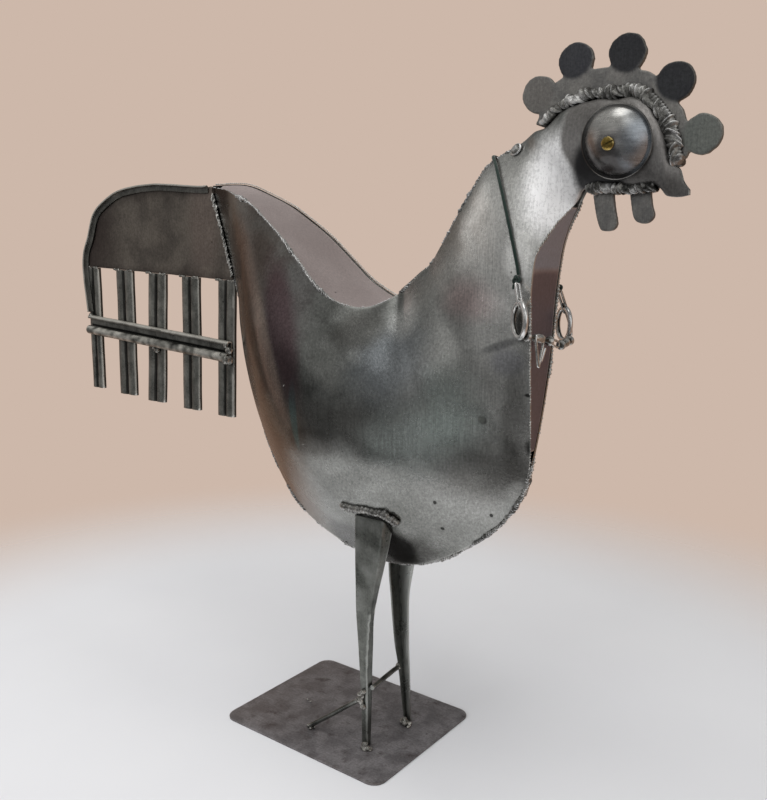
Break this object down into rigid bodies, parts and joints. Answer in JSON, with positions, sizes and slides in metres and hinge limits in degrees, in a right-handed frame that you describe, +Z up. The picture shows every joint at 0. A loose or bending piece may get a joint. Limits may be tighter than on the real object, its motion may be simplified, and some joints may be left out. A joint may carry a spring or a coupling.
{
  "type": "metal rooster sculpture",
  "caption": "Welded sheet-steel rooster on a flat base plate, with a lobed comb, domed eyes, a slatted tail and a cord necklace carrying a small jointed bit.",
  "frame": {"origin": "on the base plate's underside, in the bird's middle plane and 1.4 mm ahead of the plate's middle", "axes": "+X towards the beak, +Y to the bird's left, +Z up"},
  "size_m": [0.5236, 0.112, 0.4409],
  "materials": {
    "body_steel": "sanded and partly polished, with heat tints",
    "inner_steel": "satin, dull from handling",
    "plate_steel": "mill scale, worn at the edges",
    "leg_steel": "dark rolled steel, satin",
    "comb_steel": "dark heat-stained plate, smooth",
    "tail_steel": "dark rolled steel, satin",
    "rib_steel": "satin, lighter on its ridges",
    "dome_steel": "polished, slightly brushed",
    "brass": "turned, lightly tarnished",
    "weld_metal": "rippled, bright on its crests",
    "bit_nickel": "worn nickel plate",
    "cord": "round braided cord, matt"
  },
  "bodies": {
    "root": {"base_plate": "plate_steel", "right_leg": "leg_steel", "left_leg": "leg_steel", "leg_cross_rod": "leg_steel", "rear_strut": "leg_steel", "right_side_sheet": "body_steel", "left_side_sheet": "body_steel", "back_sheet": "inner_steel", "breast_sheet": "inner_steel", "comb_plate": "comb_steel", "wattle_rear": "comb_steel", "wattle_front": "comb_steel", "right_eye_dome": "dome_steel", "left_eye_dome": "dome_steel", "right_eye_screw": "brass", "left_eye_screw": "brass", "tail_panel": "tail_steel", "tail_rim": "rib_steel", "tail_slat_1": "rib_steel", "tail_slat_2": "rib_steel", "tail_slat_3": "rib_steel", "tail_slat_4": "rib_steel", "tail_slat_5": "rib_steel", "tail_cross_bar": "rib_steel", "necklace_cord": "cord", "cord_knot_right": "cord", "cord_knot_left": "cord", "bit_ring_right": "bit_nickel", "bit_ring_left": "bit_nickel", "bit_hanger_right": "bit_nickel", "bit_hanger_left": "bit_nickel", "bit_mouth_right": "bit_nickel", "bit_mouth_left": "bit_nickel", "bit_centre_link": "bit_nickel", "bit_drop_link": "bit_nickel", "neck_button": "weld_metal", "weld_comb_right": "weld_metal", "weld_comb_left": "weld_metal", "weld_throat_right": "weld_metal", "weld_throat_left": "weld_metal", "weld_tail_right": "weld_metal", "weld_tail_left": "weld_metal", "weld_leg_right": "weld_metal", "weld_leg_left": "weld_metal", "weld_foot_right": "weld_metal", "weld_foot_left": "weld_metal"}
  },
  "joints": []
}
